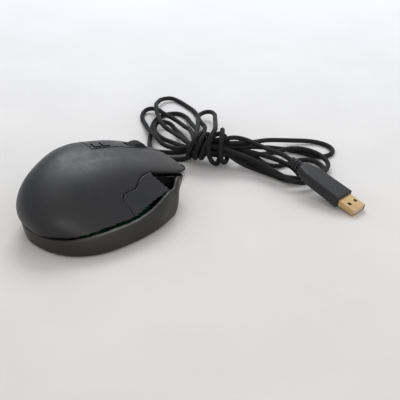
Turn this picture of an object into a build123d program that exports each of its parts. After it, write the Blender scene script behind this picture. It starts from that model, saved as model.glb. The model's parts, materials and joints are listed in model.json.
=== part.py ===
"""A right-handed corded mouse: a humped casing with two flexing buttons, a scroll wheel,
two small top keys and a keypad of twelve thumb keys, and its braided lead in a loose hank.

Millimetres. The origin is on the desk, under the middle of the mouse. +Y points forward
to the button tips, +X to the ring finger's side and +Z up.
"""

import os
from math import cos, pi, radians, sin, tan

from build123d import *

os.makedirs("parts", exist_ok=True)

# ---------------------------------------------------------------- driving dimensions
WALL = 2.0  # thickness of the moulded shells
SEAM = 0.3  # gap between a moving piece and its neighbour
JOINT = 0.12  # gap between two fixed mouldings
CEILING = 60.0  # above every part of the mouse
RIM_GAP = 0.25  # the base's rim stands this far under the shells

FOOT_Z = 0.8  # underside of the base, lifted by the glide feet
BELT_Z = 4.0  # where the base bulges most
WALL_TOP_Z = 28.0  # the side wall is drawn up to here, then cut along the rim
FLOOR_TOP_Z = 3.0  # inside face of the base's floor

FLEX_Y = 3.0  # line where the two main buttons start to flex
SPINE_X = -16.0  # middle of the strip between the buttons
SPINE_REAR_HALF, SPINE_WHEEL_HALF = 3.7, 5.0  # the strip widens round the wheel
SPINE_FLARE_Y = (22.0, 27.0)

WHEEL_Y, WHEEL_Z, WHEEL_R = 36.5, 24.3, 9.3
WHEEL_WIDTH = 6.4
AXLE_R = 1.0
PIN_GAP = 0.06  # round the wheel's axle

BOARD_Z, BOARD_T = 6.5, 1.6
BOARD_TOP = BOARD_Z + BOARD_T
SENSOR_X, SENSOR_Y = -2.0, 2.0

KEY_COLUMNS = (-14.5, -4.5, 5.5, 15.5)  # thumb keys, heel to front
KEY_FACES = (-36.4, -38.0, -38.5, -38.4)  # how far out each column stands
KEY_YAWS = (12.0, 5.0, 0.0, -2.0)  # each column faces square to the curved wall
KEY_ROWS = (9.4, 15.8, 22.2)
KEY_LONG, KEY_TALL, KEY_CAP = 9.3, 5.8, 2.6
KEYPAD_Y = (-20.5, 21.5)
KEYPAD_Z = (6.1, 25.5)
STEM_END_X = -31.0

CORD_D = 3.2
CORD_R = CORD_D / 2
GLAND_X, GLAND_Z = -8.0, 7.0

# Lines of the palm shell, each from the heel to the button tips.
CREST = [
    (-0.25, -52.5, 12), (-0.25, -55, 17), (-1.25, -54.3, 25), (-3.25, -48.8, 32.6),
    (-5.25, -38, 38.0), (-7.25, -22, 41.2), (-10.25, -8, 41.9), (-12.5, 6, 40.6),
    (-13.3, 20, 37.4), (-12.2, 36, 32.0), (-11, 46, 27.4), (-9.5, 55, 22.6),
]
LEFT_RIM = [
    (-11.25, -50, 12), (-18.8, -43.8, 14), (-25.6, -32, 22), (-32.2, -16, 28.3),
    (-36, 0, 29.6), (-36.6, 18, 29), (-35, 36, 24.5), (-31, 54, 18.5),
]
RIGHT_RIM = [
    (11.75, -50.5, 12), (21.75, -45, 12.3), (28.75, -36, 13), (32.25, -20, 14),
    (33.75, -6, 14.5), (32.6, 6, 15), (29.6, 17, 16.6), (27, 30, 17.6), (22, 54.5, 16),
]

# The side wall: (x, y) of its widest line and (x, y, z) of its rim, round from the heel.
RIGHT_WALL = [
    ((0, -51.5), (0, -52, 12)), ((9.9, -50.2), (11.75, -50.3, 12)),
    ((21.4, -46), (21.75, -44.8, 12.3)), ((31, -37.2), (28.6, -35.8, 13)),
    ((37.4, -22.6), (32, -20.4, 14)), ((38.6, -7.2), (33.6, -6.3, 14.5)),
    ((37.6, 7.2), (33.6, 7, 15.8)), ((34.8, 20.6), (31.4, 18.5, 18.4)),
    ((30.8, 30.4), (27.8, 30, 20)), ((27.6, 36.6), (24.4, 35.3, 19.2)),
    ((21.4, 41), (19.2, 40.6, 20.9)), ((16.8, 44), (17, 46, 20)),
    ((14, 48.4), (15.2, 51.8, 17.4)), ((6.75, 51), (7, 53.4, 17.4)),
]
LEFT_WALL = [
    ((-8, 52), (-8, 53.8, 17.4)), ((-22.6, 49.4), (-22.8, 50.8, 17.2)),
    ((-32.6, 40), (-32.6, 41, 20.4)), ((-37, 25), (-36.2, 25, 26.8)),
    ((-38.2, 5), (-36.6, 5, 28.8)), ((-37, -10), (-35, -10, 28.6)),
    ((-33, -25), (-30, -25, 25.6)), ((-25.6, -39), (-22.7, -38, 18)),
    ((-13, -48.2), (-13.4, -48.4, 12.4)),
]


def write(piece, name):
    """Label a finished piece and write its STEP file."""
    piece.part.label = name
    export_step(piece.part, f"parts/{name}.step")


def slab(outline, low, high):
    """A straight-sided block over a plan outline."""
    with BuildPart() as block:
        with BuildSketch(Plane.XY.offset(low)):
            with BuildLine():
                Polyline(*outline, close=True)
            make_face()
        extrude(amount=high - low)
    return block.part


def brick(x_span, y_span, z_span):
    """A box between two corners."""
    outline = [(x, y) for x, y in zip((x_span[0], x_span[1], x_span[1], x_span[0]),
                                      (y_span[0], y_span[0], y_span[1], y_span[1]))]
    return slab(outline, *z_span)


def pillar(x, y, radius, low, high):
    """An upright round post."""
    with BuildPart() as post:
        with BuildSketch(Plane.XY.offset(low)):
            with Locations((x, y)):
                Circle(radius)
        extrude(amount=high - low)
    return post.part


# ---------------------------------------------------------------- the outer form
crest_line = Edge.make_spline([Vector(*point) for point in CREST])
left_line = Edge.make_spline([Vector(*point) for point in LEFT_RIM])
right_line = Edge.make_spline([Vector(*point) for point in RIGHT_RIM])
SECTIONS = 15
ARCH_STEPS = 14


def arch(share):
    """The arch across the shell at a share of its length: its plane, and points on that plane.

    The left half is a superellipse that drops away more steeply towards the button tips. The
    right half is one too, drawn in towards its rim so that it sweeps out in a hollow curve.
    """
    crest, left, right = crest_line @ share, left_line @ share, right_line @ share
    foot = left + (right - left) * ((crest.X - left.X) / (right.X - left.X))
    plane = Plane(origin=foot, x_dir=right - left, z_dir=(right - left).cross(crest - foot))
    steepness = min(max((share - 0.45) / 0.2, 0.0), 1.0)
    left_power = 2 / (2.1 - 0.55 * steepness)
    right_power = 2 / (2.1 + 0.9 * share**2)
    fullness = 1 - 0.24 * sin(0.85 * pi * share)
    points = []
    for step in range(ARCH_STEPS + 1):
        angle = pi * (1 - step / ARCH_STEPS)
        run = abs(cos(angle))
        rise = max(sin(angle), 0.0)
        if angle >= pi / 2:
            point = foot + (left - foot) * run**left_power + (crest - foot) * rise**left_power
        else:
            climb = rise**right_power
            reach = fullness * run**right_power + (1 - fullness) * (1 - climb) ** 3
            point = foot + (right - foot) * reach + (crest - foot) * climb
        local = plane.to_local_coords(point)
        points.append((local.X, local.Y))
    return plane, points


with BuildPart() as hump:
    for section in range(SECTIONS):
        arch_plane, arch_points = arch(section / (SECTIONS - 1))
        with BuildSketch(arch_plane):
            with BuildLine():
                Spline(*arch_points)
                Line(arch_points[-1], arch_points[0])
            make_face()
    loft()

hump_box = hump.part.bounding_box()
with BuildPart() as hollow:
    add(hump.part)
    scale(by=(1 - WALL / hump_box.max.X, 1 - WALL / hump_box.max.Y, 1 - WALL / hump_box.max.Z))

with BuildPart() as top_skin:
    add(hump.part)
    add(hollow.part, mode=Mode.SUBTRACT)


def wall_outline(level, inset):
    """Plan points of the side wall at a level, drawn in by an inset."""
    points = []
    for belt, rim in RIGHT_WALL + LEFT_WALL:
        rise = max(level - BELT_Z, 0.0) / (rim[2] - BELT_Z)
        x = belt[0] + (rim[0] - belt[0]) * rise
        y = belt[1] + (rim[1] - belt[1]) * rise
        points.append((x * (1 - inset / 36), y * (1 - inset / 51)))
    return points


def wall_solid(levels, inset):
    """A closed block inside the side wall, through its outlines at the given levels."""
    with BuildPart() as block:
        for level, extra in levels:
            with BuildSketch(Plane.XY.offset(level)):
                with BuildLine():
                    Spline(*wall_outline(level, inset + extra), periodic=True)
                make_face()
        loft()
    return block.part


def above_rim(wall, x_span):
    """The space above the side wall's rim, over one half of the mouse."""
    rim_points = sorted((rim[1], rim[2] - RIM_GAP) for _, rim in wall)
    rear = (-CEILING, rim_points[0][1])
    front = (CEILING, rim_points[-1][1])
    with BuildPart() as space:
        with BuildSketch(Plane.YZ.offset(x_span[0])):
            with BuildLine():
                Spline(rear, *rim_points, front)
                Polyline(front, (CEILING, CEILING), (-CEILING, CEILING), rear)
            make_face()
        extrude(amount=x_span[1] - x_span[0])
    return space.part


CURL = 0.9  # how far the base curls under from its widest line
outer_wall = wall_solid([(FOOT_Z, CURL), (BELT_Z, 0.0), (WALL_TOP_Z, 0.0)], 0.0)
inner_wall = wall_solid([(FLOOR_TOP_Z, 0.6), (BELT_Z + 1, 0.0), (WALL_TOP_Z + 1, 0.0)], WALL)
above_right = above_rim(RIGHT_WALL, (0.0, CEILING))
above_left = above_rim(LEFT_WALL + RIGHT_WALL[:1], (-CEILING, 0.0))

# ---------------------------------------------------------------- top shells
# Plan lines of the right button: its seam with the ring finger's panel, then its free edge.
PANEL_SEAM = [
    (21.2, FLEX_Y), (20.9, 7), (20, 11.6), (17.9, 14.3), (16.2, 16.8), (15, 19.4), (14.3, 22.1),
]
FREE_EDGE = [(13.6, 27), (14.7, 32.2), (15.9, 39.5), (16.4, 45), (15.8, 50.5), (13.8, 55), (11, 58)]
PANEL_HEEL = [(22.2, 0.4), (23.4, -1.1), (25.2, -1.1), (27.4, 0.2), (CEILING, 3)]  # its rear end
PANEL_FRONT = [(15, 27.2), (29, 36.1)]  # its toothed front edge


def shifted(points, by):
    """Plan points moved sideways."""
    return [(x + by, y) for x, y in points]


def spine_edge(side, gap):
    """Plan points along one side of the spine, from the flex line to the nose, and out by a gap."""
    rear = SPINE_X + side * (SPINE_REAR_HALF + gap)
    front = SPINE_X + side * (SPINE_WHEEL_HALF + gap)
    return [
        (rear, button_top_y), (rear, SPINE_FLARE_Y[0]), (front, SPINE_FLARE_Y[1]), (front, CEILING),
    ]


button_top_y = FLEX_Y + SEAM
right_button_plan = [(PANEL_SEAM[0][0] - SEAM, button_top_y)]
right_button_plan += shifted(PANEL_SEAM[1:] + FREE_EDGE, -SEAM)
right_button_plan += list(reversed(spine_edge(1, SEAM)))
left_button_plan = [(-CEILING, CEILING), (-CEILING, button_top_y)] + spine_edge(-1, SEAM)
MOUTH_Y, MOUTH_Z = 40.0, 19.4  # ahead of this the buttons end above the nose
mouth_cut = brick((-CEILING, CEILING), (MOUTH_Y, CEILING), (0, MOUTH_Z))
PIVOT_LENGTH = 31.0
SWITCH_Y = FLEX_Y + PIVOT_LENGTH
SWITCH_TOP_Z = BOARD_TOP + 7.2
POST_GAP = 0.5
RIGHT_SWITCH_X, LEFT_SWITCH_X = 7.0, -27.5

palm_cut = slab(
    [(-CEILING, FLEX_Y)] + PANEL_SEAM[:1] + PANEL_HEEL
    + [(CEILING, CEILING), (-CEILING, CEILING)], 0, CEILING)
CASE_POSTS = [(18.0, -28.0), (-16.0, -28.0)]
SCREW_R = 1.0
with BuildPart() as palm_posts:
    for x, y in CASE_POSTS:
        add(pillar(x, y, 3.0, BOARD_TOP + 2.4, CEILING))
    add(hump.part, mode=Mode.INTERSECT)
    for x, y in CASE_POSTS:
        add(pillar(x, y, SCREW_R + 0.05, 0, BOARD_TOP + 8), mode=Mode.SUBTRACT)
with BuildPart() as palm_shell:
    add(top_skin.part)
    add(palm_cut, mode=Mode.SUBTRACT)
    add(palm_posts.part)
write(palm_shell, "palm_shell")


def button(plan, switch_x):
    """One flexing button: its part of the skin, and a post that presses its switch."""
    with BuildPart() as post:
        add(pillar(switch_x, SWITCH_Y, 2.0, SWITCH_TOP_Z + POST_GAP, CEILING))
        add(hump.part, mode=Mode.INTERSECT)
    plan_block = slab(plan, 0, CEILING)
    with BuildPart() as plate:
        add(top_skin.part)
        add(plan_block, mode=Mode.INTERSECT)
        add(mouth_cut, mode=Mode.SUBTRACT)
        add(post.part)
    return plate


right_button = button(right_button_plan, RIGHT_SWITCH_X)
write(right_button, "right_button")
left_button = button(left_button_plan, LEFT_SWITCH_X)
write(left_button, "left_button")

TEETH, TOOTH_DEPTH = 7, 0.9
tooth_from, tooth_to = Vector(*PANEL_FRONT[0]), Vector(*PANEL_FRONT[1])
tooth_in = (tooth_to - tooth_from).normalized().rotate(Axis.Z, -90) * TOOTH_DEPTH
fin_plan = shifted(PANEL_SEAM + FREE_EDGE[:1], JOINT)
for tooth in range(TEETH):
    crown = tooth_from + (tooth_to - tooth_from) * (tooth / TEETH)
    root = tooth_from + (tooth_to - tooth_from) * ((tooth + 0.6) / TEETH) + tooth_in
    fin_plan += [(crown.X, crown.Y), (root.X, root.Y)]
fin_plan += [PANEL_FRONT[1], (CEILING, PANEL_FRONT[1][1])]
fin_plan += [(x + JOINT, y + JOINT) for x, y in reversed(PANEL_HEEL)]
fin_block = slab(fin_plan, 0, CEILING)
with BuildPart() as ring_finger_panel:
    add(top_skin.part)
    add(fin_block, mode=Mode.INTERSECT)
write(ring_finger_panel, "ring_finger_panel")

# ---------------------------------------------------------------- the spine and its keys
WHEEL_SLOT_HALF = WHEEL_WIDTH / 2 + 0.5
WHEEL_SLOT_Y = (29.6, 46.3)
KEY_SLOTS_Y = ((5.6, 11.0), (12.0, 17.4))
SPINE_KEY_HALF = 2.9
spine_block = slab(spine_edge(-1, -JOINT) + list(reversed(spine_edge(1, -JOINT))), 0, CEILING)
with BuildPart() as spine_cover:
    add(top_skin.part)
    add(spine_block, mode=Mode.INTERSECT)
    add(mouth_cut, mode=Mode.SUBTRACT)
    with BuildSketch(Plane.XY):
        with Locations((SPINE_X, sum(WHEEL_SLOT_Y) / 2)):
            RectangleRounded(2 * WHEEL_SLOT_HALF, WHEEL_SLOT_Y[1] - WHEEL_SLOT_Y[0], 0.8)
        for low, high in KEY_SLOTS_Y:
            with Locations((SPINE_X, (low + high) / 2)):
                Rectangle(2 * SPINE_KEY_HALF, high - low)
    extrude(amount=CEILING, mode=Mode.SUBTRACT)
write(spine_cover, "spine_cover")

KEY_PROUD = 0.7
for name, (low, high) in zip(("rear_top_key", "front_top_key"), KEY_SLOTS_Y):
    cap_block = brick(
        (SPINE_X - SPINE_KEY_HALF + SEAM, SPINE_X + SPINE_KEY_HALF - SEAM),
        (low + SEAM, high - SEAM), (0, CEILING))
    with BuildPart() as cap:
        add(top_skin.part)
        add(cap_block, mode=Mode.INTERSECT)
    middle_y = (low + high) / 2
    with BuildPart() as stem:
        add(pillar(SPINE_X, middle_y, 1.2, 30.0, CEILING))
        add(hollow.part, mode=Mode.INTERSECT)
    with BuildPart() as top_key:
        with Locations((0, 0, KEY_PROUD)):
            add(cap.part)
        add(stem.part)
        with Locations((0, 0, KEY_PROUD)):
            add(stem.part)
    write(top_key, name)

# ---------------------------------------------------------------- base and side panels
keypad_block = brick((-CEILING, -22.0), (KEYPAD_Y[0] - 2.5, KEYPAD_Y[1] + 2.5),
                     (KEYPAD_Z[0] - 1.0, CEILING))
keypad_room = brick((-CEILING, -22.0), (KEYPAD_Y[0] - 2.5 - JOINT, KEYPAD_Y[1] + 2.5 + JOINT),
                    (KEYPAD_Z[0] - 1.0 - JOINT, CEILING))
BOARD_POSTS = [(-20.0, -24.0), (22.0, -20.0), (-20.0, 4.0), (2.0, 40.0)]
with BuildPart() as base_shell:
    add(outer_wall)
    add(inner_wall, mode=Mode.SUBTRACT)
    add(above_right, mode=Mode.SUBTRACT)
    add(above_left, mode=Mode.SUBTRACT)
    add(keypad_room, mode=Mode.SUBTRACT)
    for x, y in BOARD_POSTS:
        with BuildSketch(Plane.XY.offset(FLOOR_TOP_Z - 0.4)):
            with Locations((x, y)):
                Circle(2.6)
        extrude(amount=BOARD_Z - FLOOR_TOP_Z + 0.4)
        add(pillar(x, y, SCREW_R, FLOOR_TOP_Z, BOARD_Z), mode=Mode.SUBTRACT)
    for x, y in CASE_POSTS:
        with BuildSketch(Plane.XY.offset(FLOOR_TOP_Z - 0.4)):
            with Locations((x, y)):
                Circle(3.0)
        extrude(amount=BOARD_Z - FLOOR_TOP_Z)
        add(pillar(x, y, SCREW_R + 0.25, 0, CEILING), mode=Mode.SUBTRACT)
        add(pillar(x, y, 2.1, 0, FLOOR_TOP_Z), mode=Mode.SUBTRACT)
    with BuildSketch(Plane.XY):
        with Locations((SENSOR_X, SENSOR_Y)):
            RectangleRounded(9.0, 7.0, 2.0)
    extrude(amount=FLOOR_TOP_Z + 1, mode=Mode.SUBTRACT)
    with BuildSketch(Plane.XZ.offset(-45.0)):
        with Locations((GLAND_X, GLAND_Z)):
            Circle(3.3)
    extrude(amount=-CEILING, mode=Mode.SUBTRACT)
write(base_shell, "base_shell")

with BuildPart() as thumb_panel:
    add(outer_wall)
    add(inner_wall, mode=Mode.SUBTRACT)
    add(keypad_block, mode=Mode.INTERSECT)
    add(above_left, mode=Mode.SUBTRACT)
    with BuildSketch(Plane.YZ):
        with Locations((sum(KEYPAD_Y) / 2, sum(KEYPAD_Z) / 2)):
            RectangleRounded(KEYPAD_Y[1] - KEYPAD_Y[0], KEYPAD_Z[1] - KEYPAD_Z[0], 1.5)
    extrude(amount=-CEILING, mode=Mode.SUBTRACT)
write(thumb_panel, "thumb_panel")

GRILLE_X = 12.0
grille_side = [(31, 14.0), (48, 14.0), (48, 16.2), (40, 18.8), (31, 21.8)]
with BuildPart() as front_grille:
    with BuildSketch(Plane.YZ.offset(GRILLE_X)):
        with BuildLine():
            Polyline(*grille_side, close=True)
        make_face()
    extrude(amount=-1.2)
    for rib in range(5):
        with BuildSketch(Plane.YZ.offset(GRILLE_X)):
            with Locations((39.3 - 1.2 * rib, 14.7 + 1.5 * rib)):
                Rectangle(16.0 - 2.6 * rib, 0.7)
        extrude(amount=1.1)
write(front_grille, "front_grille")

with BuildPart() as glide_feet:
    with BuildSketch(Plane.XY):
        with Locations((-8, 40)):
            SlotOverall(34, 7)
        with Locations((0, -39)):
            SlotOverall(32, 7)
        with Locations((27.5, 4)):
            SlotOverall(16, 6, rotation=90)
    extrude(amount=FOOT_Z)
    fillet(glide_feet.edges().filter_by(Plane.XY).group_by(Axis.Z)[0], 0.2)
write(glide_feet, "glide_feet")

# ---------------------------------------------------------------- thumb keys
TACT_GAP = 0.75
SWITCH_HEIGHT = 2.2
THUMB_BOARD_X = STEM_END_X + TACT_GAP + SWITCH_HEIGHT
key_count = 0
for y, face_x, yaw in zip(KEY_COLUMNS, KEY_FACES, KEY_YAWS):
    for z in KEY_ROWS:
        key_count += 1
        outward = Vector(-cos(radians(yaw)), -sin(radians(yaw)), 0)
        face = Plane(origin=(face_x, y, z), x_dir=Vector(0, 0, 1).cross(outward), z_dir=outward)
        with BuildPart() as thumb_key:
            with BuildSketch(face):
                RectangleRounded(KEY_LONG, KEY_TALL, 1.2)
            extrude(amount=-KEY_CAP)
            chamfer(thumb_key.faces().sort_by(Axis.X)[0].edges(), 0.45)
            with BuildSketch(Plane.YZ.offset(STEM_END_X)):
                with Locations((y, z)):
                    Rectangle(3.0, 3.0)
            extrude(amount=face_x + 1.5 - STEM_END_X)
        write(thumb_key, f"thumb_key_{key_count:02d}")

with BuildPart() as thumb_board:
    with BuildSketch(Plane.YZ.offset(THUMB_BOARD_X)):
        with Locations((0.5, 16.8)):
            RectangleRounded(39.0, 19.0, 1.5)
    extrude(amount=1.2)
write(thumb_board, "thumb_board")

with BuildPart() as thumb_switches:
    for y in KEY_COLUMNS:
        for z in KEY_ROWS:
            with BuildSketch(Plane.YZ.offset(THUMB_BOARD_X)):
                with Locations((y, z)):
                    Rectangle(4.5, 4.5)
            extrude(amount=-1.6)
            with BuildSketch(Plane.YZ.offset(THUMB_BOARD_X - 1.6)):
                with Locations((y, z)):
                    Circle(1.1)
            extrude(amount=1.6 - SWITCH_HEIGHT)
write(thumb_switches, "thumb_switches")

# ---------------------------------------------------------------- scroll wheel
wheel_plane = Plane(origin=(SPINE_X, WHEEL_Y, WHEEL_Z), x_dir=(0, 1, 0), z_dir=(1, 0, 0))
TYRE_T = 2.4
with BuildPart() as wheel_hub:
    with BuildSketch(wheel_plane.offset(-WHEEL_WIDTH / 2 + 0.4)):
        Circle(WHEEL_R - TYRE_T)
        Circle(WHEEL_R - TYRE_T - 1.6, mode=Mode.SUBTRACT)
        Circle(2.8)
        with PolarLocations(0, 5):
            with Locations((4.0, 0)):
                Rectangle(4.6, 1.6)
        Circle(AXLE_R, mode=Mode.SUBTRACT)
    extrude(amount=WHEEL_WIDTH - 0.8)
write(wheel_hub, "wheel_hub")

TYRE_NOTCHES = 30
with BuildPart() as wheel_tyre:
    with BuildSketch(wheel_plane.offset(-WHEEL_WIDTH / 2)):
        Circle(WHEEL_R)
        Circle(WHEEL_R - TYRE_T, mode=Mode.SUBTRACT)
    extrude(amount=WHEEL_WIDTH)
    fillet(wheel_tyre.edges().filter_by(GeomType.CIRCLE).sort_by(SortBy.RADIUS)[-2:], 1.1)
    with BuildSketch(wheel_plane.offset(-WHEEL_WIDTH / 2)):
        with PolarLocations(WHEEL_R, TYRE_NOTCHES):
            Circle(0.45)
    extrude(amount=WHEEL_WIDTH, mode=Mode.SUBTRACT)
write(wheel_tyre, "wheel_tyre")

CARRIER_HALF = 4.0
CARRIER_T = 1.1
CARRIER_Y = (WHEEL_Y - 3.8, WHEEL_Y + 3.8)
CARRIER_FLOOR_Z = 12.7
CARRIER_TOP_Z = 26.2
with BuildPart() as wheel_axle:
    with BuildSketch(wheel_plane.offset(-CARRIER_HALF - 1.4)):
        Circle(AXLE_R)
    extrude(amount=2 * CARRIER_HALF + 4.4)
write(wheel_axle, "wheel_axle")

with BuildPart() as wheel_carrier:
    for side in (-1, 1):
        with BuildSketch(Plane.YZ.offset(SPINE_X + side * CARRIER_HALF)):
            with Locations((sum(CARRIER_Y) / 2, (CARRIER_FLOOR_Z + CARRIER_TOP_Z) / 2)):
                RectangleRounded(CARRIER_Y[1] - CARRIER_Y[0], CARRIER_TOP_Z - CARRIER_FLOOR_Z, 1.0)
            with Locations((WHEEL_Y, WHEEL_Z)):
                Circle(AXLE_R + PIN_GAP, mode=Mode.SUBTRACT)
        extrude(amount=side * CARRIER_T)
    with BuildSketch(Plane.XY.offset(CARRIER_FLOOR_Z)):
        with Locations((SPINE_X, sum(CARRIER_Y) / 2)):
            Rectangle(2 * (CARRIER_HALF + CARRIER_T), CARRIER_Y[1] - CARRIER_Y[0] - 2.4)
    extrude(amount=1.6)
write(wheel_carrier, "wheel_carrier")

ENCODER_X = SPINE_X + CARRIER_HALF + CARRIER_T
with BuildPart() as wheel_encoder:
    with BuildSketch(Plane.YZ.offset(ENCODER_X)):
        with Locations((WHEEL_Y, WHEEL_Z - 2.6)):
            RectangleRounded(7.6, 8.0, 1.0)
        with Locations((WHEEL_Y, WHEEL_Z)):
            Circle(AXLE_R + PIN_GAP, mode=Mode.SUBTRACT)
    extrude(amount=3.6)
write(wheel_encoder, "wheel_encoder")

BRACKET_TOP_Z, BRACKET_FLOOR_Z = 14.8, 9.3
with BuildPart() as wheel_bracket:
    with BuildSketch(Plane.XY.offset(BOARD_TOP)):
        for y in (CARRIER_Y[0] - 1.9, CARRIER_Y[1] + 1.9):
            with Locations((SPINE_X, y)):
                Rectangle(12.6, 2.4)
    extrude(amount=BRACKET_TOP_Z - BOARD_TOP)
    with BuildSketch(Plane.XY.offset(BOARD_TOP)):
        with Locations((SPINE_X, WHEEL_Y)):
            Rectangle(8.0, CARRIER_Y[1] - CARRIER_Y[0] + 3)
    extrude(amount=BRACKET_FLOOR_Z - BOARD_TOP)
write(wheel_bracket, "wheel_bracket")

WHEEL_SWITCH_TALL = 1.7
with BuildPart() as wheel_switch:
    with BuildSketch(Plane.XY.offset(BRACKET_FLOOR_Z)):
        with Locations((SPINE_X, WHEEL_Y)):
            Rectangle(6.0, 6.0)
    extrude(amount=WHEEL_SWITCH_TALL)
    with BuildSketch(Plane.XY.offset(BRACKET_FLOOR_Z + WHEEL_SWITCH_TALL)):
        with Locations((SPINE_X, WHEEL_Y)):
            Circle(1.5)
    extrude(amount=0.9)
write(wheel_switch, "wheel_switch")

# ---------------------------------------------------------------- board and electronics
board_plan = [
    (-22, -30), (-16, -38), (12, -38), (25, -26), (27, 0), (23, 18), (14, 27),
    (11, 43), (-8, 45), (-22, 45), (-30.4, 38.5), (-30.4, 25), (-25, 21), (-25, -20),
]
with BuildPart() as main_board:
    with BuildSketch(Plane.XY.offset(BOARD_Z)):
        with BuildLine():
            Polyline(*board_plan, close=True)
        make_face()
        with Locations(*BOARD_POSTS):
            Circle(SCREW_R + 0.2, mode=Mode.SUBTRACT)
        with Locations(*CASE_POSTS):
            Circle(3.6, mode=Mode.SUBTRACT)
        with Locations((SENSOR_X, SENSOR_Y)):
            Rectangle(5.0, 5.0, mode=Mode.SUBTRACT)
    extrude(amount=BOARD_T)
write(main_board, "main_board")

with BuildPart() as board_screws:
    for x, y in BOARD_POSTS:
        add(pillar(x, y, SCREW_R - 0.05, FLOOR_TOP_Z + 0.4, BOARD_TOP))
        add(pillar(x, y, 1.9, BOARD_TOP, BOARD_TOP + 1.3))
write(board_screws, "board_screws")

with BuildPart() as case_screws:
    for x, y in CASE_POSTS:
        add(pillar(x, y, 1.9, FOOT_Z + 0.5, FLOOR_TOP_Z - 0.4))
        add(pillar(x, y, SCREW_R, FLOOR_TOP_Z - 0.4, BOARD_TOP + 7))
write(case_screws, "case_screws")

with BuildPart() as click_switches:
    for x in (LEFT_SWITCH_X, RIGHT_SWITCH_X):
        with BuildSketch(Plane.XY.offset(BOARD_TOP)):
            with Locations((x, SWITCH_Y - 1.5)):
                Rectangle(5.8, 12.8)
        extrude(amount=6.5)
        with BuildSketch(Plane.XY.offset(BOARD_TOP + 6.5)):
            with Locations((x, SWITCH_Y)):
                Rectangle(2.6, 1.4)
        extrude(amount=SWITCH_TOP_Z - BOARD_TOP - 6.5)
write(click_switches, "click_switches")

with BuildPart() as optical_sensor:
    with BuildSketch(Plane.XY.offset(BOARD_TOP)):
        with Locations((SENSOR_X, SENSOR_Y)):
            Rectangle(10.9, 16.2)
    extrude(amount=3.2)
write(optical_sensor, "optical_sensor")

with BuildPart() as sensor_lens:
    with BuildSketch(Plane.XY.offset(FLOOR_TOP_Z + 0.1)):
        with Locations((SENSOR_X, SENSOR_Y)):
            RectangleRounded(18.0, 20.0, 2.0)
    extrude(amount=1.6)
    with BuildSketch(Plane.XY.offset(FLOOR_TOP_Z + 1.7)):
        with Locations((SENSOR_X, SENSOR_Y)):
            Circle(2.2)
    extrude(amount=BOARD_TOP - 0.1 - FLOOR_TOP_Z - 1.7)
    with BuildSketch(Plane.XY.offset(FOOT_Z + 0.4)):
        with Locations((SENSOR_X, SENSOR_Y)):
            RectangleRounded(8.6, 6.6, 1.8)
    extrude(amount=FLOOR_TOP_Z + 0.1 - FOOT_Z - 0.4)
write(sensor_lens, "sensor_lens")

with BuildPart() as board_chips:
    with BuildSketch(Plane.XY.offset(BOARD_TOP)):
        with Locations((8, -18)):
            Rectangle(9, 9)
        with Locations((-10, -22)):
            Rectangle(6, 5)
        with GridLocations(3.2, 4.5, 4, 2):
            with Locations((14, 6)):
                Rectangle(1.6, 0.9)
    extrude(amount=1.3)
write(board_chips, "board_chips")

with BuildPart() as cable_connector:
    with BuildSketch(Plane.XY.offset(BOARD_TOP)):
        with Locations((-18.6, 17.0)):
            Rectangle(5.0, 10.0)
    extrude(amount=4.5)
write(cable_connector, "cable_connector")


# ---------------------------------------------------------------- the lead
def tube(route, name):
    """A tube of the cord's size along straight runs joined by arcs as large as they allow."""
    points = [Vector(*point) for point in route]
    arcs = []
    for before, corner, after in zip(points, points[1:], points[2:]):
        turn = (corner - before).get_angle(after - corner)
        shorter = min((corner - before).length, (after - corner).length)
        arcs.append(0.45 * shorter / tan(radians(turn / 2)))
    with BuildLine() as line:
        FilletPolyline(*points, radius=arcs)
    with BuildPart() as pipe:
        with BuildSketch(Plane(origin=points[0], z_dir=points[1] - points[0])):
            Circle(CORD_R)
        sweep(path=line.line)
    length = sum(edge.length for edge in line.edges())
    print(name, "arcs", [round(arc, 1) for arc in arcs], "length", round(length, 1),
          "volume over section x length", round(pipe.part.volume / (pi * CORD_R**2 * length), 4))
    return pipe


GLAND_START_Y, GLAND_END_Y = 47.0, 58.0
GLAND_RING_Y, GLAND_RING_PITCH = 53.2, 1.5  # flexing grooves near its end
LEAD_ROUTE = [
    (GLAND_X, GLAND_END_Y, GLAND_Z), (GLAND_X, 68, GLAND_Z), (-15, 75, 2.6), (-26, 74.5, 1.7),
]
with BuildPart() as cable_gland:
    with BuildSketch(Plane.XZ.offset(-GLAND_START_Y)):
        with Locations((GLAND_X, GLAND_Z)):
            Circle(3.1)
    with BuildSketch(Plane.XZ.offset(-GLAND_END_Y)):
        with Locations((GLAND_X, GLAND_Z)):
            Circle(2.3)
    loft()
    for ring in range(3):
        with BuildSketch(Plane.XZ.offset(-GLAND_RING_Y - GLAND_RING_PITCH * ring)):
            with Locations((GLAND_X, GLAND_Z)):
                Circle(3.2)
                Circle(2.1, mode=Mode.SUBTRACT)
        extrude(amount=-0.7, mode=Mode.SUBTRACT)
write(cable_gland, "cable_gland")

with BuildPart() as inner_lead:
    with BuildSketch(Plane.XZ.offset(-GLAND_START_Y)):
        with Locations((GLAND_X, BOARD_TOP + CORD_R + 0.3)):
            Circle(CORD_R)
    extrude(amount=4.0)
write(inner_lead, "inner_lead")

lead = tube(LEAD_ROUTE, "cord_lead")
write(lead, "cord_lead")

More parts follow.
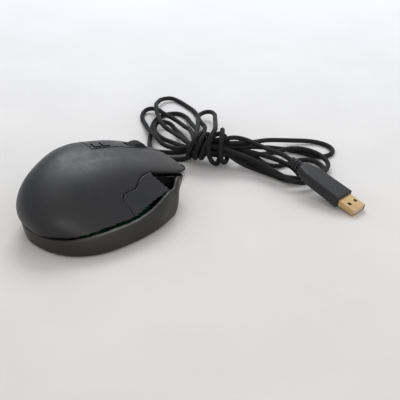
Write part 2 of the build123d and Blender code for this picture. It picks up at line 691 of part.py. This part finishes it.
# The hank: loops fanned out to either side of a bound waist.
WAIST = Vector(-12, 94.7, 13.2)
WAIST_YAW = 37.0
WAIST_LONG, WAIST_R = 29.0, 13.0
waist_axis = Vector(cos(radians(WAIST_YAW)), sin(radians(WAIST_YAW)), 0)
waist_end = WAIST + waist_axis * (WAIST_LONG / 2)
LEFT_LOOPS = [
    (-16, 86), (-24, 68), (-46, 57), (-60, 58), (-88, 83), (-113, 107), (-117, 124), (-110, 145),
    (-80, 154), (-60, 144), (-36, 125), (-16, 106),
]
RIGHT_LOOPS = [
    (-6, 92), (6, 98), (44, 108), (61, 116), (61, 128), (50, 154), (37, 171), (25, 176.5),
    (13, 175), (0, 156), (-12, 112),
]
LEFT_HIGH, RIGHT_HIGH = 12.0, 8.6
with BuildPart() as cord_hank:
    add(slab(LEFT_LOOPS, 0, LEFT_HIGH))
    add(slab(RIGHT_LOOPS, 0, RIGHT_HIGH))
    with BuildSketch(Plane(origin=waist_end, z_dir=waist_axis)):
        Circle(WAIST_R)
    extrude(amount=-WAIST_LONG)
write(cord_hank, "cord_hank")

# ---------------------------------------------------------------- the plug
PLUG_YAW, PLUG_TILT = 7.0, 16.0  # heading of the plug, and how far its tip points down
SHELL_WIDE, SHELL_HIGH, SHELL_LONG, SHELL_T = 12.0, 4.5, 12.4, 0.35
MOULD_WIDE, MOULD_HIGH, MOULD_LONG = 15.6, 8.0, 35.0
RELIEF_LONG = 9.5
tip_height = SHELL_HIGH / 2 * cos(radians(PLUG_TILT)) + 0.05
plug_x = Vector(cos(radians(PLUG_TILT)) * cos(radians(PLUG_YAW)),
                cos(radians(PLUG_TILT)) * sin(radians(PLUG_YAW)), -sin(radians(PLUG_TILT)))
plug_y = Vector(-sin(radians(PLUG_YAW)), cos(radians(PLUG_YAW)), 0)
PLUG_TIP = Vector(99.0, 123.6, tip_height)


def plug_plane(back):
    """A plane square across the plug, a distance behind its tip."""
    return Plane(origin=PLUG_TIP - plug_x * back, x_dir=plug_y, z_dir=plug_x)


with BuildPart() as usb_shell:
    with BuildSketch(plug_plane(0)):
        RectangleRounded(SHELL_WIDE, SHELL_HIGH, 0.8)
        RectangleRounded(SHELL_WIDE - 2 * SHELL_T, SHELL_HIGH - 2 * SHELL_T, 0.5, mode=Mode.SUBTRACT)
    extrude(amount=-SHELL_LONG)
    with BuildSketch(Plane(origin=PLUG_TIP - plug_x * 6.2, x_dir=plug_x, z_dir=plug_y.cross(plug_x))):
        with Locations((0, -2.9), (0, 2.9)):
            Rectangle(2.4, 2.2)
    extrude(amount=SHELL_HIGH, both=True, mode=Mode.SUBTRACT)
write(usb_shell, "usb_shell")

with BuildPart() as usb_tongue:
    with BuildSketch(plug_plane(0.6)):
        with Locations((0, -0.85)):
            Rectangle(SHELL_WIDE - 2 * SHELL_T - 0.5, 1.8)
    extrude(amount=-(SHELL_LONG - 0.6))
write(usb_tongue, "usb_tongue")

with BuildPart() as usb_contacts:
    with BuildSketch(plug_plane(1.8)):
        with Locations((-3.5, 0.2), (-1.0, 0.2), (1.0, 0.2), (3.5, 0.2)):
            Rectangle(1.0, 0.2)
    extrude(amount=-(SHELL_LONG - 4.0))
write(usb_contacts, "usb_contacts")

with BuildPart() as plug_overmould:
    with BuildSketch(plug_plane(SHELL_LONG)):
        RectangleRounded(MOULD_WIDE, MOULD_HIGH, 2.0)
    with BuildSketch(plug_plane(SHELL_LONG + MOULD_LONG - 8)):
        RectangleRounded(MOULD_WIDE - 1.2, MOULD_HIGH - 0.4, 2.2)
    with BuildSketch(plug_plane(SHELL_LONG + MOULD_LONG)):
        RectangleRounded(10.0, 7.2, 2.6)
    loft(ruled=True)
write(plug_overmould, "plug_overmould")

with BuildPart() as plug_strain_relief:
    for rib in range(4):
        with BuildSketch(plug_plane(SHELL_LONG + MOULD_LONG + 2.4 * rib)):
            Circle(3.5 - 0.25 * rib)
        extrude(amount=-1.5)
    with BuildSketch(plug_plane(SHELL_LONG + MOULD_LONG)):
        Circle(2.3)
    extrude(amount=-RELIEF_LONG)
write(plug_strain_relief, "plug_strain_relief")

relief_end = PLUG_TIP - plug_x * (SHELL_LONG + MOULD_LONG + RELIEF_LONG)
exit_point = relief_end - plug_x * 7
TAIL_ROUTE = [
    (waist_end.X, waist_end.Y, 18.5), (6, 113.5, 17), (16.5, 116.4, 16.6), (28, 116.2, 18),
    tuple(exit_point), tuple(relief_end),
]
tail = tube(TAIL_ROUTE, "cord_tail")
write(tail, "cord_tail")
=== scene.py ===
"""Wired thumb-keypad mouse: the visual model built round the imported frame."""
import json
import math

import bmesh
import bpy
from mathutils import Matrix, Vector


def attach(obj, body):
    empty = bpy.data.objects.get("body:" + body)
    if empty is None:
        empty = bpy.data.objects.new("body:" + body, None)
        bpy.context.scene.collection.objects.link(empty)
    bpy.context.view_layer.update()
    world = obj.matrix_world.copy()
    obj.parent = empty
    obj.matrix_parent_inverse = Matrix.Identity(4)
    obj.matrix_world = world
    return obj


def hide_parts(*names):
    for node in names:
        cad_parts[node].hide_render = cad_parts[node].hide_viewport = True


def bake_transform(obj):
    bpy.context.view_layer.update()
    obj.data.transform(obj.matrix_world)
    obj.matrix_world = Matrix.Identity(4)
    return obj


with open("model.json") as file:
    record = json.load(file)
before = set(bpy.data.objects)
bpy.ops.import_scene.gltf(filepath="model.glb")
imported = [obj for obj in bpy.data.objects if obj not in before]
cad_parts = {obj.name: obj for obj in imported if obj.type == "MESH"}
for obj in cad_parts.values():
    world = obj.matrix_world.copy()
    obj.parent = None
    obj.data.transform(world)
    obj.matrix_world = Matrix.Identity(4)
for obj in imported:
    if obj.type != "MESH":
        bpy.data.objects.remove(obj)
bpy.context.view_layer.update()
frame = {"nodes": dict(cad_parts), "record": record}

MM = 0.001


def add(name, data):
    """A new object, linked into the scene."""
    obj = bpy.data.objects.new(name, data)
    bpy.context.collection.objects.link(obj)
    return obj


def face_along(obj, direction):
    """Turn a camera or lamp so that it looks along a direction."""
    obj.rotation_euler = direction.to_track_quat("-Z", "Y").to_euler()


# ---------------------------------------------------------------- camera
AIM = Vector((0.02275, 0.059, 0.0))
AZIMUTH = math.radians(50)
ELEVATION = math.radians(30)
DISTANCE = 0.635
FOCAL_LENGTH_MM = 90
SENSOR_MM = 36
CLIP_NEAR = 0.01
CLIP_FAR = 20

back = Vector((
    math.sin(AZIMUTH) * math.cos(ELEVATION),
    -math.cos(AZIMUTH) * math.cos(ELEVATION),
    math.sin(ELEVATION),
))
camera_data = bpy.data.cameras.new("camera")
camera_data.lens = FOCAL_LENGTH_MM
camera_data.sensor_width = SENSOR_MM
camera_data.clip_start = CLIP_NEAR
camera_data.clip_end = CLIP_FAR
camera = add("camera", camera_data)
camera.location = AIM + back * DISTANCE
face_along(camera, -back)
bpy.context.scene.camera = camera
bpy.context.scene.view_settings.view_transform = "Standard"


# ---------------------------------------------------------------- materials
def feed(tree, value, socket):
    """Put a value on a socket, or link another node's output to it."""
    if isinstance(value, bpy.types.NodeSocket):
        tree.links.new(value, socket)
    elif isinstance(value, tuple):
        socket.default_value = (*value, 1)
    else:
        socket.default_value = value


class Paint:
    """A Principled material with helpers for the nodes that feed it."""

    def __init__(self, name, rough, **sockets):
        self.material = bpy.data.materials.new(name)
        self.material.use_nodes = True
        self.tree = self.material.node_tree
        self.shader = self.tree.nodes["Principled BSDF"]
        self.shader.inputs["Roughness"].default_value = rough
        for socket, value in sockets.items():
            self.shader.inputs[socket.replace("_", " ")].default_value = value
        self.place = self.node("ShaderNodeTexCoord").outputs["Object"]

    def node(self, kind, **settings):
        made = self.tree.nodes.new(kind)
        for setting, value in settings.items():
            setattr(made, setting, value)
        return made

    def link(self, source, socket):
        self.tree.links.new(source, socket)

    def noise(self, scale, detail, rough=0.5, stretch=None, warp=0.0):
        """Noise in object space; scale is in waves per metre."""
        made = self.node("ShaderNodeTexNoise")
        made.inputs["Scale"].default_value = scale
        made.inputs["Detail"].default_value = detail
        made.inputs["Roughness"].default_value = rough
        made.inputs["Distortion"].default_value = warp
        place = self.place
        if stretch:
            mapping = self.node("ShaderNodeMapping")
            mapping.inputs["Scale"].default_value = stretch
            self.link(place, mapping.inputs["Vector"])
            place = mapping.outputs["Vector"]
        self.link(place, made.inputs["Vector"])
        return made.outputs["Fac"]

    def ramp(self, source, *stops):
        """A colour ramp; each stop is (place, grey or colour)."""
        made = self.node("ShaderNodeValToRGB")
        elements = made.color_ramp.elements
        while len(elements) < len(stops):
            elements.new(0.5)
        for element, (position, colour) in zip(elements, stops):
            element.position = position
            grey = isinstance(colour, (int, float))
            element.color = (colour,) * 3 + (1,) if grey else (*colour, 1)
        self.link(source, made.inputs["Fac"])
        return made.outputs["Color"]

    def mix(self, factor, a, b, blend="MIX"):
        made = self.node("ShaderNodeMix", data_type="RGBA", blend_type=blend)
        for name, value in (("Factor", factor), ("A", a), ("B", b)):
            feed(self.tree, value, made.inputs[name])
        return made.outputs["Result"]

    def math(self, operation, a, b):
        made = self.node("ShaderNodeMath", operation=operation)
        for socket, value in zip(made.inputs, (a, b)):
            feed(self.tree, value, socket)
        return made.outputs["Value"]

    def colour(self, source):
        self.link(source, self.shader.inputs["Base Color"])

    def roughness(self, source):
        self.link(source, self.shader.inputs["Roughness"])

    def bump(self, *heights):
        """Heights are (source, metres); they stack up."""
        normal = None
        for source, depth in heights:
            made = self.node("ShaderNodeBump")
            made.inputs["Strength"].default_value = 1.0
            made.inputs["Distance"].default_value = depth
            self.link(source, made.inputs["Height"])
            if normal:
                self.link(normal, made.inputs["Normal"])
            normal = made.outputs["Normal"]
        self.link(normal, self.shader.inputs["Normal"])


def moulded(name, dark, light, rough, grain=2600, depth=0.00002, **sockets):
    """Moulded plastic: two drifting tones, a fine spark-eroded grain and faint smudges."""
    paint = Paint(name, rough, **sockets)
    drift = paint.noise(38, 4, 0.6, warp=0.4)
    fine = paint.noise(grain, 2)
    tone = paint.ramp(drift, (0.3, dark), (0.7, light))
    speck = paint.ramp(fine, (0.35, 0.8), (0.65, 1.0))
    paint.colour(paint.mix(0.35, tone, speck, "MULTIPLY"))
    smudge = paint.noise(90, 5, 0.65, warp=1.2)
    paint.roughness(paint.ramp(smudge, (0.3, rough - 0.06), (0.7, rough + 0.08)))
    paint.bump((fine, depth))
    return paint.material


def metal(name, dark, light, rough):
    """Plated metal with rubbed patches."""
    return moulded(name, dark, light, rough, grain=5000, depth=0.000004, Metallic=1.0)


def handled(name, dark, light, warm, rough):
    """Soft-touch plastic that hands have rubbed: drifting tone, warm haze, smudges and dust."""
    paint = Paint(name, rough, Specular_IOR_Level=0.4)
    drift = paint.noise(30, 4, 0.6, warp=0.5)
    fine = paint.noise(2800, 2)
    tone = paint.ramp(drift, (0.3, dark), (0.7, light))
    haze = paint.ramp(paint.noise(17, 3, 0.5), (0.5, 0.0), (0.72, 0.5))
    tone = paint.mix(haze, tone, warm)
    dust = paint.ramp(paint.noise(520, 3, 0.55), (0.70, 0.0), (0.76, 0.16))
    paint.colour(paint.mix(dust, tone, (0.24, 0.23, 0.22)))
    rub = paint.noise(70, 6, 0.7, warp=1.6)
    streak = paint.noise(110, 4, 0.6, stretch=(1.0, 0.25, 1.0), warp=0.6)
    half_rub = paint.math("MULTIPLY", rub, 0.5)
    half_streak = paint.math("MULTIPLY", streak, 0.5)
    sheen = paint.math("ADD", half_rub, half_streak)
    paint.roughness(paint.ramp(sheen, (0.36, rough - 0.1), (0.62, rough + 0.08)))
    paint.bump((fine, 0.000012), (paint.noise(60, 2), 0.00006))
    return paint.material


SOFT_TOUCH = handled(
    "soft_touch", (0.0075, 0.0075, 0.009), (0.0125, 0.012, 0.014), (0.022, 0.017, 0.014), 0.43
)
BASE_PLASTIC = handled(
    "base_plastic", (0.011, 0.0105, 0.010), (0.019, 0.018, 0.0165), (0.03, 0.026, 0.022), 0.47
)
# The ring-finger panel's soft-touch plastic, painted lighter than the palm's as a painted highlight for
# the light its slope catches; it is also glossier.
WING_PLASTIC_PAINTED_HIGHLIGHT = handled(
    "wing_plastic_painted_highlight", (0.009, 0.009, 0.010), (0.016, 0.0155, 0.017), (0.03, 0.025, 0.02), 0.36
)
KEY_PLASTIC = moulded("key_plastic", (0.007, 0.007, 0.008), (0.012, 0.012, 0.013), 0.5)
DARK_PLASTIC = moulded("dark_plastic", (0.006, 0.006, 0.0065), (0.01, 0.01, 0.01), 0.55)
RUBBER = moulded("wheel_rubber", (0.006, 0.006, 0.006), (0.011, 0.011, 0.011), 0.7)
MOULD = moulded(
    "moulded_rubber", (0.012, 0.012, 0.013), (0.022, 0.021, 0.022), 0.42,
    grain=1800, Specular_IOR_Level=0.3,
)
GOLD = metal("gold_plate", (0.50, 0.33, 0.16), (0.74, 0.52, 0.28), 0.34)
STEEL = metal("steel", (0.4, 0.4, 0.4), (0.55, 0.55, 0.55), 0.35)
WHITE = moulded("white_plastic", (0.62, 0.6, 0.56), (0.72, 0.7, 0.66), 0.45)
BOARD = moulded("circuit_board", (0.008, 0.05, 0.025), (0.015, 0.08, 0.04), 0.4)
PTFE = moulded("glide_ptfe", (0.05, 0.05, 0.05), (0.08, 0.08, 0.08), 0.35)
LENS = moulded("clear_lens", (0.5, 0.5, 0.5), (0.6, 0.6, 0.6), 0.15)

CORD = Paint("braided_cord", 0.72, Specular_IOR_Level=0.22)
WEAVE = CORD.noise(1500, 2)
CORD_TONE = CORD.ramp(WEAVE, (0.35, (0.005, 0.005, 0.005)), (0.65, (0.016, 0.0155, 0.016)))
CORD_FADE = CORD.ramp(CORD.noise(24, 3), (0.45, 0.0), (0.75, 0.5))
CORD.colour(CORD.mix(CORD_FADE, CORD_TONE, (0.02, 0.019, 0.019)))
CORD.bump((WEAVE, 0.00012))

FINISH = {
    "soft_touch_plastic": SOFT_TOUCH,
    "key_plastic": KEY_PLASTIC,
    "wheel_rubber": RUBBER,
    "dark_plastic": DARK_PLASTIC,
    "moulded_rubber": MOULD,
    "braided_cord": CORD.material,
    "gold_plate": GOLD,
    "white_plastic": WHITE,
    "circuit_board": BOARD,
    "glide_ptfe": PTFE,
    "clear_lens": LENS,
    "steel": STEEL,
}


def paint(obj, material):
    """Make a material the only one on an object."""
    obj.data.materials.clear()
    obj.data.materials.append(material)


SLOT_OF = {row["node"]: row["material_slot"] for row in frame["record"]["subparts"]}
for node, obj in frame["nodes"].items():
    for slot in obj.material_slots:
        slot.material = FINISH.get(SLOT_OF.get(node), DARK_PLASTIC)


# ---------------------------------------------------------------- moulded shells
def twin(name, *nodes):
    """A new object that copies some CAD pieces into one welded mesh."""
    form = bmesh.new()
    for node in nodes:
        source = frame["nodes"][node]
        first = len(form.verts)
        form.from_mesh(source.data)
        form.verts.ensure_lookup_table()
        for vert in form.verts[first:]:
            vert.co = source.matrix_world @ vert.co
    bmesh.ops.remove_doubles(form, verts=form.verts, dist=0.001 * MM)
    mesh = bpy.data.meshes.new(name)
    form.to_mesh(mesh)
    form.free()
    return add(name, mesh)


def soften(obj, voxel, rounds):
    """Give a shell one even skin whose edges are rounded as a moulding's are."""
    skin = obj.modifiers.new("skin", "REMESH")
    skin.mode = "VOXEL"
    skin.voxel_size = voxel
    relax = obj.modifiers.new("relax", "SMOOTH")
    relax.factor = 0.5
    relax.iterations = rounds
    made = obj.evaluated_get(bpy.context.evaluated_depsgraph_get())
    obj.data = bpy.data.meshes.new_from_object(made)
    obj.modifiers.clear()
    for face in obj.data.polygons:
        face.use_smooth = True


FLEX_Y = 3 * MM  # the buttons flex here
HEEL_FROM = FLEX_Y + 0.1 * MM  # the right button's rear face lies between these two
HEEL_TO = FLEX_Y + 0.4 * MM
HEEL_REACH = 0.6 * MM  # and moves back this far, across the gap and into the palm
VOXEL = 0.45 * MM
BASE_VOXEL = 0.6 * MM  # coarser, so that the export keeps every face
TOP_ROUNDS = 5
SHELL_ROUNDS = 4

top = twin("top_skin", "palm_shell", "right_button")
for vert in top.data.vertices:
    if HEEL_FROM < vert.co.y < HEEL_TO:
        vert.co.y -= HEEL_REACH
soften(top, VOXEL, TOP_ROUNDS)
paint(top, SOFT_TOUCH)
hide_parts("palm_shell", "right_button")
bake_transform(top)

for node, body, material, slot, voxel in (
    ("left_button", "left_button", SOFT_TOUCH, "soft_touch_plastic", VOXEL),
    ("ring_finger_panel", "casing", WING_PLASTIC_PAINTED_HIGHLIGHT, "soft_touch_plastic", VOXEL),
    ("base_shell", "casing", BASE_PLASTIC, "soft_touch_plastic", BASE_VOXEL),
    ("plug_overmould", "casing", MOULD, "moulded_rubber", VOXEL),
):
    shell = twin(node + "_skin", node)
    soften(shell, voxel, SHELL_ROUNDS)
    paint(shell, material)
    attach(shell, body)
    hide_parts(node)

# ---------------------------------------------------------------- the cord
CORD_THICK = 3.2
# Control points in mm from the gland to the plug. The first three and last three were chosen by
# hand; the others were traced over the photograph and smoothed by scratch programs.
CORD_ROUTE = [
    (-8, 58, 7), (-8, 64, 7), (-9, 70, 5.5), (-13, 74.5, 3.5), (-20, 75.5, 1.7), (-28, 72.5, 1.7),
    (-33.5, 69.5, 1.7), (-41.5, 63, 1.7), (-49.5, 66, 1.7), (-49.5, 74, 1.7), (-41.5, 80, 1.7),
    (-35.5, 86, 1.7), (-27.5, 87, 5), (-20.5, 88.5, 10), (-12.5, 92.5, 12), (-5.5, 97.5, 12),
    (1, 102, 9.5), (7.5, 106, 5), (15, 110, 2.5), (23, 113.5, 1.7), (31.5, 115, 1.7), (41.5, 116.5, 1.7),
    (46.5, 122.5, 1.7), (45, 126.5, 2.5), (37.5, 127, 6), (29.5, 121.5, 10), (23, 116.5, 12),
    (15.5, 112.5, 13), (7, 110, 12.5), (-1, 107, 11.5), (-9, 104, 11), (-15.5, 97, 11.5),
    (-23.5, 95.5, 12), (-31, 101.5, 11), (-38, 107, 10.5), (-45, 112, 9), (-52, 116, 6.5),
    (-59.5, 120, 4.5), (-67, 124, 3), (-74.5, 128, 1.7), (-84, 128, 1.7), (-88.5, 120.5, 1.7),
    (-87.5, 111.5, 1.7), (-83.5, 104, 1.7), (-77.5, 98, 1.7), (-71, 92, 1.7), (-64.5, 86, 1.7),
    (-58, 80.5, 2.5), (-51, 75.5, 4.5), (-43.5, 71.5, 5), (-34.5, 71, 4), (-29.5, 78.5, 1.7),
    (-23.5, 84.5, 1.7), (-17.5, 89, 7.5), (-10, 93.5, 8.5), (-3.5, 98.5, 8), (0, 106.5, 9), (3, 115, 8),
    (10.5, 119, 5.5), (19.5, 119, 3.5), (24, 126, 1.7), (25.5, 134.5, 1.7), (26.5, 143.5, 1.7),
    (32, 150.5, 1.7), (41.5, 150, 1.7), (48.5, 145.5, 1.7), (51, 136.5, 1.7), (50.5, 127.5, 3),
    (46.5, 120, 4), (40.5, 113.5, 5.5), (31.5, 112, 6), (23, 112, 5.5), (14, 111, 5.5), (5.5, 109, 5.5),
    (-2.5, 105, 7), (-9.5, 101, 8), (-15, 93.5, 8), (-23.5, 91, 8.5), (-32, 93.5, 9.5), (-40, 96.5, 8.5),
    (-47.5, 100.5, 6.5), (-54.5, 104.5, 4), (-62.5, 107.5, 2.5), (-71.5, 110, 4), (-77, 102.5, 5.5),
    (-71, 95, 5), (-64, 90, 5.5), (-55.5, 89.5, 4), (-47.5, 92.5, 3), (-39, 90, 5.5), (-31, 88, 8),
    (-22.5, 86.5, 10.5), (-14, 86.5, 12.5), (-6.5, 91, 12), (-0.5, 97, 11.5), (5, 104, 10.5),
    (10, 111, 10.5), (12, 119.5, 8), (12, 128, 6), (12.5, 136.5, 4.5), (14, 145, 5), (19.5, 152, 5),
    (27.5, 155, 5), (36.5, 155, 5), (45, 153, 3.5), (50.5, 146, 4.5), (54.5, 138.5, 5.5), (57, 130, 5),
    (56.5, 121.5, 4.5), (51, 114.5, 5), (43, 111.5, 7.5), (34.5, 110, 9), (26, 109.5, 10),
    (17.5, 107.5, 11), (10, 104, 12.5), (3, 99, 14.5), (-4, 94.5, 15.5), (-10.5, 88.5, 16.5),
    (-18, 84, 14.5), (-25.5, 84, 10), (-33.5, 84.5, 6), (-41.5, 81, 6.5), (-50, 81.5, 8.5), (-58, 85, 8),
    (-65.5, 88, 6), (-73.5, 91.5, 4), (-81, 95.5, 2.5), (-89, 99, 1.7), (-98, 104, 1.7), (-103, 111, 2.5),
    (-101, 115.5, 3.5), (-92, 116, 5), (-83, 112, 7), (-74.5, 113, 6.5), (-66, 114.5, 4.5),
    (-57.5, 112.5, 5), (-49.5, 110, 7), (-42, 105.5, 9), (-35, 101, 11), (-28.5, 96, 13), (-21.5, 91, 15),
    (-13, 94, 15.5), (-7.5, 102, 14.5), (1, 103.5, 17.5), (6, 110.5, 17.5), (5, 119.5, 14.5),
    (3, 127, 12), (1, 135, 9.5), (0.5, 143, 7), (1.5, 151.5, 4.5), (5, 159.5, 3), (10, 166.5, 2.5),
    (16, 172.5, 1.7), (25, 174.5, 1.7), (33, 171, 1.7), (35.5, 162, 1.7), (29.5, 155, 1.7),
    (21, 153, 1.7), (13, 149.5, 1.7), (7, 143, 3), (6, 135, 6), (7, 127, 9), (8, 119, 12.5),
    (6.5, 110.5, 14.5), (1, 103.5, 14.5), (-5, 97.5, 14.5), (-11.5, 92, 15.5), (-19, 87.5, 14),
    (-27.5, 89, 12), (-35.5, 92, 11), (-43.5, 94.5, 9), (-52, 97, 7.5), (-60.5, 97.5, 7.5), (-69, 99, 9),
    (-76.5, 103.5, 8.5), (-84, 107.5, 9), (-91, 112.5, 8.5), (-98, 117.5, 7), (-103.5, 124, 5.5),
    (-109, 131, 3.5), (-108, 140, 2.5), (-98.5, 141.5, 1.7), (-90, 140.5, 1.7), (-81.5, 139.5, 1.7),
    (-73, 136.5, 1.7), (-65.5, 132, 2.5), (-58.5, 127.5, 4), (-51, 123.5, 6), (-43.5, 119.5, 8),
    (-37.5, 113.5, 9), (-32.5, 106.5, 8.5), (-28.5, 99, 8), (-25.5, 91.5, 5), (-20, 84, 5.5),
    (-15, 80.5, 13), (-14, 85.5, 21), (-17.5, 95, 22), (-22, 99.5, 14.5), (-21.5, 96.5, 5.5),
    (-17, 88, 3.5), (-11.5, 83, 10), (-10, 85.5, 19), (-13, 93.5, 22.5), (-17, 101, 18), (-18.5, 100, 8),
    (-15, 93, 3.5), (-9.5, 86, 8), (-6, 87, 17), (-7.5, 94, 22), (-8.5, 103, 22), (-9, 110, 15),
    (-7, 109, 6), (-1.5, 102.5, 2.5), (2.5, 95, 6.5), (2.5, 93, 15.5), (-1, 97.5, 23), (-7, 103.5, 25.5),
    (-12.5, 108.5, 19), (-13.5, 108, 9.5), (-9.5, 103.5, 2.5), (-4, 96.5, 1.7), (-2, 89.5, 7),
    (-3, 87, 16), (-5, 91, 23.5), (-9, 99, 25.5), (-15.5, 104.5, 22.5), (-21.5, 110, 20),
    (-28, 115.5, 17.5), (-34.5, 121, 15.5), (-40.5, 126, 13.5), (-47, 131.5, 11), (-54, 137.5, 8.5),
    (-62.5, 141.5, 6.5), (-67, 139, 5.5), (-65.5, 131, 5.5), (-57.5, 125, 7.5), (-51, 119, 9.5),
    (-44.5, 114, 11.5), (-38.5, 108, 13), (-32, 102.5, 15), (-26.5, 96.5, 16.5), (-18.5, 91.5, 18),
    (-10.5, 94, 18.5), (-5, 101, 18.5), (-0.5, 108.5, 20), (6, 114, 18.5), (15, 115, 18), (22.5, 116, 18),
    (28, 116.2, 18), (38, 116.1, 19.8), (44.7, 116.9, 17.9),
]
route = bpy.data.curves.new("cord", "CURVE")
route.dimensions = "3D"
route.resolution_u = 6
route.bevel_depth = CORD_THICK / 2 * MM
route.bevel_resolution = 4
route.use_fill_caps = True
spline = route.splines.new("NURBS")
spline.points.add(len(CORD_ROUTE) - 1)
for point, (x, y, z) in zip(spline.points, CORD_ROUTE):
    point.co = (x * MM, y * MM, z * MM, 1)
spline.order_u = 3
spline.use_endpoint_u = True
cord = add("cord", route)
paint(cord, CORD.material)
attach(cord, "casing")
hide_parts("cord_lead", "cord_hank", "cord_tail")

# ---------------------------------------------------------------- floor and lights
SIDE = 4.0
CORNERS = [(-SIDE, -SIDE, 0), (SIDE, -SIDE, 0), (SIDE, SIDE, 0), (-SIDE, SIDE, 0)]
floor_mesh = bpy.data.meshes.new("floor")
floor_mesh.from_pydata(CORNERS, [], [(0, 1, 2, 3)])
floor = add("floor", floor_mesh)

FLOOR = Paint("floor", 0.8)
SPLIT = FLOOR.node("ShaderNodeSeparateXYZ")
FLOOR.link(FLOOR.place, SPLIT.inputs["Vector"])
away = FLOOR.math("SUBTRACT", SPLIT.outputs["Y"], SPLIT.outputs["X"])  # grows beyond the mouse
away = FLOOR.math("ADD", FLOOR.math("MULTIPLY", away, 0.8), 0.5)
# Painted light falloff: the floor is painted darker and warmer near the mouse and lighter and cooler
# beyond it.
painted_falloff = FLOOR.ramp(
    away, (0.2, (0.66, 0.62, 0.585)), (0.5, (0.70, 0.675, 0.65)), (0.95, (0.78, 0.785, 0.81))
)
mottle = FLOOR.ramp(FLOOR.noise(14, 4), (0.4, 0.96), (0.65, 1.0))
FLOOR.colour(FLOOR.mix(1.0, painted_falloff, mottle, "MULTIPLY"))
paint(floor, FLOOR.material)

SKY_COLOUR = (0.95, 0.97, 1.0, 1)
SKY_STRENGTH = 0.78
world = bpy.data.worlds.new("world")
world.use_nodes = True
sky = world.node_tree.nodes["Background"]
sky.inputs["Color"].default_value = SKY_COLOUR
sky.inputs["Strength"].default_value = SKY_STRENGTH
bpy.context.scene.world = world


def softbox(name, place, aim, side, watts, tint):
    """A square area light at a place, turned to a point."""
    lamp = bpy.data.lights.new(name, "AREA")
    lamp.shape = "RECTANGLE"
    lamp.size = side
    lamp.size_y = side
    lamp.energy = watts
    lamp.color = tint
    obj = add(name, lamp)
    obj.location = place
    face_along(obj, Vector(aim) - Vector(place))


softbox("light_top", (-0.75, 0.75, 1.2), (0, 0.03, 0), 0.8, 11, (0.96, 0.98, 1.0))
softbox("light_side", (1.3, -0.35, 0.75), (0, 0.05, 0), 0.9, 4, (1.0, 0.95, 0.9))
